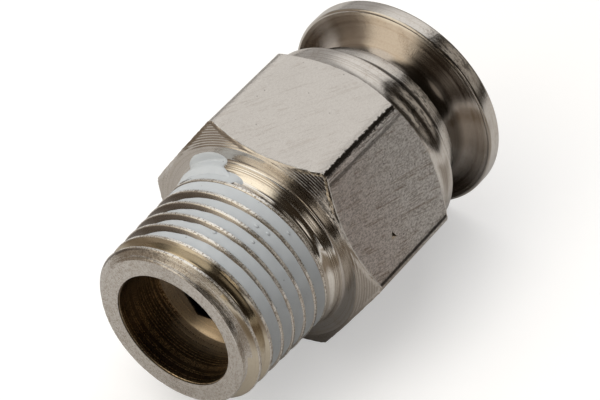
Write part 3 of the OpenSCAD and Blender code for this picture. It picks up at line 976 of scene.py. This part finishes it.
def makeTongue():
    s = sealant
    deselectAll()
    longways, sideways = s["tongueGrid"]
    bpy.ops.mesh.primitive_grid_add(x_subdivisions=longways, y_subdivisions=sideways, size=2)
    piece = bpy.context.active_object
    for vert in piece.data.vertices:
        along, side = (vert.co.x + 1) / 2, vert.co.y
        x, r, outX, outR = tonguePath(along)
        pastShoulder = max(along - s["tongueShoulder"], 0) / (1 - s["tongueShoulder"])
        half = s["tongueHalf"] * math.sqrt(1 - s["tongueTaper"] * pastShoulder ** 2)
        half += s["tongueFoot"] * (1 - between(0.0, s["tongueFootEnd"], along))
        half *= 1 + s["tongueWave"] * wobble(along, side, 3, s["tongueWaveSize"])
        turn = math.radians(s["tongueMiddle"] + half * side)
        plump = (1 - side ** 4) ** 0.5 * (1 - along ** 8) ** 0.5 * between(*s["tongueRise"], along)
        lift = s["tongueThick"] * plump - s["tongueSink"]
        putVertex(vert, x + outX * lift, r + outR * lift, turn)
    editAll()
    bpy.ops.mesh.normals_make_consistent(inside=False)
    bpy.ops.object.mode_set(mode="OBJECT")
    wall = piece.modifiers.new("wall", "SOLIDIFY")
    wall.thickness = s["tongueWall"] * mm
    wall.offset = 0
    bpy.ops.object.modifier_apply(modifier="wall")
    bpy.ops.object.mode_set(mode="EDIT")
    mergeAndTurnOut()
    bpy.ops.object.mode_set(mode="OBJECT")
    return piece


def makeBlisters():                              # small drops that set on the bead's edge
    drops = []
    segments, rings = sealant["blisterFaces"]
    for i, (x, degrees) in enumerate(sealant["blisters"]):
        turn = math.radians(degrees)
        r = majorR(x) - fillDepth(turn, x)
        size = sealant["blisterR"] * (1 - 0.1 * (i % 4))
        deselectAll()
        bpy.ops.mesh.primitive_uv_sphere_add(segments=segments, ring_count=rings, radius=size * mm)
        editAll()
        bpy.ops.transform.resize(value=sealant["blisterForm"])
        bpy.ops.transform.rotate(value=math.pi / 2 - turn, orient_axis="X", center_override=(0, 0, 0))
        bpy.ops.transform.translate(value=(x * mm, r * math.cos(turn) * mm, r * math.sin(turn) * mm))
        bpy.ops.object.mode_set(mode="OBJECT")
        drops.append(bpy.context.active_object)
    return drops


threadSealant = makeBead()
extras = [makeTongue()] + makeBlisters()
makeActive(threadSealant)
for extra in extras:
    extra.select_set(True)
bpy.ops.object.join()
threadSealant.data.materials.append(sealantCoat("sealantCoat"))
smoothFaces(threadSealant, 60)
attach(threadSealant, "fitting")
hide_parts("thread_sealant")
print("sealant:", len(threadSealant.data.polygons), "faces")


# Guide collar pressed into the barrel, with its lip round the button's skirt

collar = dict(
    pocketR=4.05, pocketEnd=6.48, landR=3.6, landEnd=7.18, boreR=4.05, mouthR=4.445, mouthLength=0.8,
    seatR=4.595, lipR=4.84, lipChamfer=0.1, edge=0.03,
    seam=0.83,                                   # the first of the lip, which lies in the barrel's shade
    finish=dict(lines=9.0, depth=0.3, rough=0.24, grime=0.4, patches=0.8, scuffTurn=125),
)
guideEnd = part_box("guide_collar")[0].x / mm
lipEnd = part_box("guide_collar")[1].x / mm


def makeCollar():
    c = collar
    piece = turnedPiece("guideCollar", [
        (guideEnd, c["pocketR"]), (guideEnd, c["seatR"]), (barrelEnd, c["seatR"]), (barrelEnd, c["lipR"]),
        (lipEnd - c["lipChamfer"], c["lipR"]), (lipEnd, c["lipR"] - c["lipChamfer"]), (lipEnd, c["mouthR"]),
        (lipEnd - c["mouthLength"], c["boreR"]), (c["landEnd"], c["boreR"]), (c["landEnd"], c["landR"]),
        (c["pocketEnd"], c["landR"]), (c["pocketEnd"], c["pocketR"])])
    roundSharpEdges(piece, c["edge"])
    return piece


guideCollar = makeCollar()
collarNickel = nickelTurned("collarNickel", seamX=barrelEnd + collar["seam"], **collar["finish"])
guideCollar.data.materials.append(collarNickel)
smoothFaces(guideCollar, 32)
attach(guideCollar, "fitting")
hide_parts("guide_collar")
print("collar:", len(guideCollar.data.polygons), "faces")


# Release button: skirt, hollow neck and mushroom head with the tube's entry

button = dict(
    skirtR=4.0, skirtBoreR=3.6, grooveR=3.9, grooveStart=11.43, grooveEnd=11.93, boreR=3.1,
    coveR=1.3, coveSteps=40, linesStart=4.15, lines=32, slant=48,
    headBack=12.08, headR=6.1, rimRound=0.158, rimSteps=6, faceR=5.0, entry=0.5, edge=0.03, steps=240,
    finish=dict(lines=8.0, depth=0.3, rough=0.18, grime=0.5, patches=0.8, scuffTurn=124, scuffR=5.92,
                shadedR=5.9, rootR=4.75),
)
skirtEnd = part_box("release_button")[0].x / mm
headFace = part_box("release_button")[1].x / mm


def makeButton():
    b = button
    soft, first = b["rimRound"], b["linesStart"]
    coveX, coveTop = b["headBack"] - b["coveR"], b["skirtR"] + b["coveR"]
    lineSlope = math.tan(math.radians(b["slant"]))
    points = [(skirtEnd, b["skirtBoreR"]), (skirtEnd, b["skirtR"])]
    points += [point for point in arc(coveX, coveTop, b["coveR"], -90, 0, b["coveSteps"]) if point[1] < first]
    for k in range(b["lines"] + 1):               # turned lines: each a short slant, then a step back
        r = first + (b["headR"] - soft - first) * k / b["lines"]
        dip = b["coveR"] ** 2 - min(coveTop - r, b["coveR"]) ** 2
        backX = coveX + math.sqrt(dip) if r < coveTop else b["headBack"]
        if k:
            points.append((max(points[-1][0] + (r - points[-1][1]) / lineSlope, backX), r))
        points.append((backX, r))
    points += arc(b["headBack"] + soft, b["headR"] - soft, soft, 180, 90, b["rimSteps"])[1:]
    points += arc(headFace - soft, b["headR"] - soft, soft, 90, 0, b["rimSteps"])
    points += [(headFace, b["faceR"]), (headFace, b["boreR"] + b["entry"])]
    points += [(headFace - b["entry"], b["boreR"]), (b["grooveEnd"], b["boreR"])]
    points += [(b["grooveEnd"], b["grooveR"]), (b["grooveStart"], b["grooveR"])]
    points += [(b["grooveStart"], b["skirtBoreR"])]
    piece = turnedPiece("releaseButton", points, b["steps"])
    roundSharpEdges(piece, b["edge"], angle=35, spared=(coveX, b["headBack"] + soft, first - 0.1))
    return piece


releaseButton = makeButton()
releaseButton.data.materials.append(nickelTurned("buttonNickel", **button["finish"]))
smoothFaces(releaseButton, 32)
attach(releaseButton, "button")
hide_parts("release_button")
print("button:", len(releaseButton.data.polygons), "faces")


# Collet: a slit sleeve with a nose, a keeping bead and a snap bead

collet = dict(
    innerR=3.1, outerR=3.55, noseR=3.325, noseLength=0.45, beadR=3.95, beadLength=0.6, beadEnd=6.43,
    snapR=3.85, snapStart=11.48, snapLength=0.4, slits=4, slitWidth=0.5, slitEnd=6.83, slitOver=0.5,
    edge=0.025, steps=144,
)
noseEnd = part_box("collet")[0].x / mm
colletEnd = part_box("collet")[1].x / mm


def makeCollet():
    c = collet
    over = c["slitOver"]
    piece = turnedPiece("colletSleeve", [
        (noseEnd, c["innerR"]), (noseEnd, c["noseR"]), (noseEnd + c["noseLength"], c["outerR"]),
        (c["beadEnd"] - c["beadLength"], c["outerR"]), (c["beadEnd"] - c["beadLength"] / 2, c["beadR"]),
        (c["beadEnd"], c["beadR"]), (c["beadEnd"], c["outerR"]),
        (c["snapStart"], c["outerR"]), (c["snapStart"], c["snapR"]),
        (colletEnd - c["snapLength"] / 2, c["snapR"]), (colletEnd, c["outerR"]),
        (colletEnd, c["innerR"])], c["steps"])
    for i in range(c["slits"]):
        cutAway(piece, slitCutter(noseEnd - over, c["slitEnd"], c["slitWidth"], c["innerR"] - over,
                                  c["beadR"] + over, 2 * math.pi * i / c["slits"]))
    roundSharpEdges(piece, c["edge"], angle=30)
    return piece


def slitCutter(startX, endX, width, innerR, outerR, turn):         # a bar standing out from the axis
    deselectAll()
    bpy.ops.mesh.primitive_cube_add(size=1)
    cutter = bpy.context.active_object
    editAll()
    bpy.ops.transform.resize(value=((endX - startX) * mm, width * mm, (outerR - innerR) * mm))
    bpy.ops.transform.translate(value=((startX + endX) / 2 * mm, 0, (innerR + outerR) / 2 * mm))
    bpy.ops.transform.rotate(value=turn, orient_axis="X", center_override=(0, 0, 0))
    bpy.ops.object.mode_set(mode="OBJECT")
    return cutter


brass = turnedBrass("turnedBrass")
colletSleeve = makeCollet()
colletSleeve.data.materials.append(brass)
smoothFaces(colletSleeve, 32)
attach(colletSleeve, "collet")
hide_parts("collet")
print("collet:", len(colletSleeve.data.polygons), "faces")


# Cartridge inside the barrel: O-ring, its retainer and the grip ring

cartridge = dict(
    sealR=3.55, sealSection=1.3, sealSides=24, retainerFloor=0.4, dishR=3.675, rootBackR=4.16,
    gripRootR=3.99, gripRim=0.35, gripGap=0.05, claws=10, clawSlot=0.45, clawOver=0.5, clawTip=3.73, tipR=2.9,
    clawBack=3.45, backR=3.116, edge=0.025, steps=144, gripSteps=180,
)


def makeSeal():
    low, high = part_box("tube_seal")
    sides = cartridge["sealSides"]
    section = arc((low.x + high.x) / 2 / mm, cartridge["sealR"], cartridge["sealSection"] / 2,
                  0, 360 - 360 / sides, sides - 1)
    return turnedPiece("tubeSeal", section, cartridge["steps"])


def makeRetainer():
    low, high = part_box("seal_retainer")
    start, end, outerR = low.x / mm, high.x / mm, high.z / mm
    floorX = start + cartridge["retainerFloor"]
    piece = turnedPiece("sealRetainer", [
        (start, body["socketR"]), (start, outerR), (end, outerR), (end, cartridge["rootBackR"]),
        (floorX, cartridge["dishR"]), (floorX, body["socketR"])], cartridge["steps"])
    roundSharpEdges(piece, cartridge["edge"], angle=30)
    return piece


def makeGripRing():
    c = cartridge
    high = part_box("grip_ring")[1]
    end, outerR = high.x / mm, high.z / mm
    rim, backR = end - c["gripRim"], c["rootBackR"] - c["gripGap"]
    piece = turnedPiece("gripRing", [
        (rim, outerR), (end, outerR), (end, c["gripRootR"]), (c["clawTip"], c["tipR"]),
        (c["clawBack"], c["backR"]), (rim, backR)], c["gripSteps"])
    for i in range(c["claws"]):
        cutAway(piece, slitCutter(c["clawBack"] - c["clawOver"], end + c["clawOver"], c["clawSlot"],
                                  c["tipR"] / 2, backR, 2 * math.pi * i / c["claws"]))
    roundSharpEdges(piece, c["edge"], angle=30)
    return piece


tubeSeal, sealRetainer, gripRing = makeSeal(), makeRetainer(), makeGripRing()
for piece, material, node, slot in ((tubeSeal, sealRubber("sealRubber"), "tube_seal", "seal_rubber"),
                                    (sealRetainer, brass, "seal_retainer", "retainer_brass"),
                                    (gripRing, springSteel("springSteel"), "grip_ring", "grip_steel")):
    piece.data.materials.append(material)
    smoothFaces(piece, 32)
    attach(piece, "fitting")
    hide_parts(node)
print("cartridge:", [len(piece.data.polygons) for piece in (tubeSeal, sealRetainer, gripRing)], "faces")


# Camera at the photograph's angle

camera = dict(place=(-88.811, -63.471, 110.300), look=(0.58778, 0.40365, -0.70113), lens=185.598, sensor=36)


def makeCamera():
    deselectAll()
    bpy.ops.object.camera_add()
    made = bpy.context.active_object
    made.name = "photoCamera"
    look = Vector(camera["look"]).normalized()
    right = look.cross(Vector((0, 0, 1))).normalized()
    turned = Matrix((right, right.cross(look), -look)).transposed().to_4x4()
    made.matrix_world = Matrix.Translation(Vector(camera["place"]) * mm) @ turned
    made.data.lens = camera["lens"]
    made.data.sensor_width = camera["sensor"]
    made.data.clip_start = 0.005
    made.data.clip_end = 10
    bpy.context.scene.camera = made


# Pale floor. What the metal mirrors of it is darker on some sides and close to the part

stage = dict(
    floorSize=1.0, floorGap=0.00002, nearColour=(0.62, 0.615, 0.61, 1), farColour=(0.16, 0.155, 0.15, 1),
    poolStart=0.06, poolEnd=0.3, lift=0.45, farLift=0.85, mirrored=0.08, shadeColour=(0.2, 0.165, 0.13, 1),
    shades=(                                      # direction, its cosines, limits of distance in m, strength
        ((-0.53, -0.85, 0), (0.55, 0.8), ((0.012, 0.025), (0.075, 0.045)), 1.0),      # the camera's side
        ((0.2, -0.98, 0), (0.7, 0.9), ((0.045, 0.03),), 0.7),                         # the right
        ((-0.64, 0.77, 0), (0.7, 0.9), ((0.014, 0.045),), 1.0),                       # far to the left
        ((1, 0.1, 0), (0.8, 0.95), ((0.02, 0.05),), 1.0),                             # behind
    ),
    closeShade=(0.024, 0.01), closeStrength=0.35,
)


def makeFloor():
    deselectAll()
    floorZ = cadBox[0][2] - stage["floorGap"]
    bpy.ops.mesh.primitive_plane_add(size=stage["floorSize"], location=(0, 0, floorZ))
    floor = bpy.context.active_object
    floor.name = "paleFloor"
    material = bpy.data.materials.new("paleFloor")
    material.use_nodes = True
    tree = material.node_tree
    shader = tree.nodes["Principled BSDF"]
    place = Signal(tree).node("ShaderNodeTexCoord", out=3)
    distance = place.node("ShaderNodeVectorMath", {"operation": "LENGTH"}, {0: place}, out=1)
    heading = place.node("ShaderNodeVectorMath", {"operation": "NORMALIZE"}, {0: place})
    far = distance.ramp(stage["poolStart"], stage["poolEnd"])       # a pool of light round the part
    rays = Signal(tree).node("ShaderNodeLightPath")
    seen, glossy, passed = (Signal(tree, rays.socket.node.outputs[name])
                            for name in ("Is Camera Ray", "Is Glossy Ray", "Is Transmission Ray"))
    mirrored = glossy + passed
    shade = distance.ramp(*stage["closeShade"]) * stage["closeStrength"]
    for direction, cosines, distances, strength in stage["shades"]:
        mask = facing(heading, direction).ramp(*cosines) * strength
        for limits in distances:
            mask = mask * distance.ramp(*limits)
        shade = shade.math("MAXIMUM", shade, mask)
    shade = shade * mirrored
    base = far.mixed(stage["nearColour"], stage["farColour"])
    plug(shader, "Base Color", shade.mixed(base, stage["shadeColour"]))
    plug(shader, "Roughness", 0.9)
    plug(shader, "Specular IOR Level", 0.0)
    plug(shader, "Emission Color", (1, 1, 1, 1))
    lift = far * (stage["farLift"] - stage["lift"]) + stage["lift"]
    glow = mirrored * (1 - far) * (1 - shade) * stage["mirrored"]
    plug(shader, "Emission Strength", seen * lift + glow)
    floor.data.materials.append(material)


def facing(look, direction):                      # how far a look is along a direction
    return look.node("ShaderNodeVectorMath", {"operation": "DOT_PRODUCT"}, {0: look, 1: direction}, out=1)


def addSoftbox(name, place, size, energy):        # for the sealant and the floor: the metal mirrors the world
    deselectAll()
    bpy.ops.object.light_add(type="AREA", location=place)
    lamp = bpy.context.active_object
    lamp.name = name
    lamp.data.shape = "SQUARE"
    lamp.data.size = size
    lamp.data.energy = energy
    lamp.rotation_euler = (-Vector(place)).to_track_quat("-Z", "Y").to_euler()
    lamp.visible_glossy = False


studio = dict(
    overhead=dict(place=(-0.05, 0.1, 0.45), size=0.5, energy=1.25),
    front=dict(place=(-0.4, 0.05, 0.22), size=0.4, energy=0.7),
    surround=(0.03, 0.024, 0.018, 1),
    # one big soft screen from overhead down behind the part, brightest round its peak
    screen=(0.48, 0.47, 0.46, 1), screenSide=(0, 1, 0.15), screenEdge=(-0.05, 0.05), screenHigh=(0.15, 0.4),
    screenLeft=(0.2, 0.45), screenAhead=(-0.15, 0.3),
    bright=(1.04, 1.03, 1.01, 1), peak=(0.48, 0.15, 0.86), peakEdge=(0.72, 0.97),
    # a narrow panel on the right
    panel=(0.42, 0.39, 0.35, 1), panelSide=(0, -1, -0.45), panelEdge=(-0.04, 0.06), panelHigh=(0.1, 0.22),
    panelStart=(0.38, 0.5), panelEnd=(0.85, 0.74),
    low=(0.22, 0.21, 0.20, 1), lowHigh=(0.0, -0.05), lowLeft=(0.5, 0.2),
    lobes=(                                       # direction, cosines of its soft edge, colour
        ((-0.72, -0.60, 0.34), (0.75, 0.95), (0.026, 0.018, 0.011, 1)),       # dark room in front
        ((-0.57, 0.81, 0.09), (0.72, 0.92), (0.32, 0.27, 0.22, 1)),           # dim on the left
        ((-0.87, 0.27, 0.41), (0.95, 0.985), (0.95, 0.87, 0.74, 1)),
        ((-0.55, 0.43, 0.71), (0.83, 0.96), (1.22, 1.10, 0.90, 1)),           # golden, high on the left
        ((-0.16, 0.50, 0.85), (0.935, 0.975), (1.15, 1.10, 1.0, 1)),
        ((-0.63, -0.66, 0.41), (0.972, 0.991), (0.8, 0.74, 0.66, 1)),         # for the neck
        ((-0.944, 0.307, 0.105), (0.982, 0.993), (0.98, 0.87, 0.70, 1)),      # low in front
        ((-0.989, -0.139, 0.052), (0.984, 0.994), (0.8, 0.68, 0.50, 1)),
    ),
)


def makeWorld():
    s = studio
    world = bpy.data.worlds.new("studio")
    bpy.context.scene.world = world
    world.use_nodes = True
    tree = world.node_tree
    look = Signal(tree).node("ShaderNodeTexCoord", out=0)
    ahead, left, high = (facing(look, axis) for axis in ((1, 0, 0), (0, 1, 0), (0, 0, 1)))
    top = facing(look, s["screenSide"]).ramp(*s["screenEdge"])
    clear = high.math("MAXIMUM", high.ramp(*s["screenHigh"]), left.ramp(*s["screenLeft"]))
    screen = top * clear * ahead.ramp(*s["screenAhead"])
    peak = facing(look, s["peak"]).ramp(*s["peakEdge"])
    panel = facing(look, s["panelSide"]).ramp(*s["panelEdge"]) * high.ramp(*s["panelHigh"])
    panel = panel * ahead.ramp(*s["panelStart"]) * ahead.ramp(*s["panelEnd"])
    colour = screen.mixed(s["surround"], peak.mixed(s["screen"], s["bright"]))
    colour = panel.mixed(colour, s["panel"])
    for direction, cosines, shade in s["lobes"]:
        colour = facing(look, Vector(direction).normalized()).ramp(*cosines).mixed(colour, shade)
    low = high.ramp(*s["lowHigh"]) * left.ramp(*s["lowLeft"])
    colour = low.mixed(colour, s["low"])
    tree.links.new(colour.socket, tree.nodes["Background"].inputs["Color"])


makeCamera()
makeFloor()
addSoftbox("overheadSoftbox", **studio["overhead"])
addSoftbox("frontSoftbox", **studio["front"])
makeWorld()
bpy.context.scene.view_settings.view_transform = "Standard"
print("stage: camera, floor, two softboxes and", len(studio["lobes"]), "patches of light")
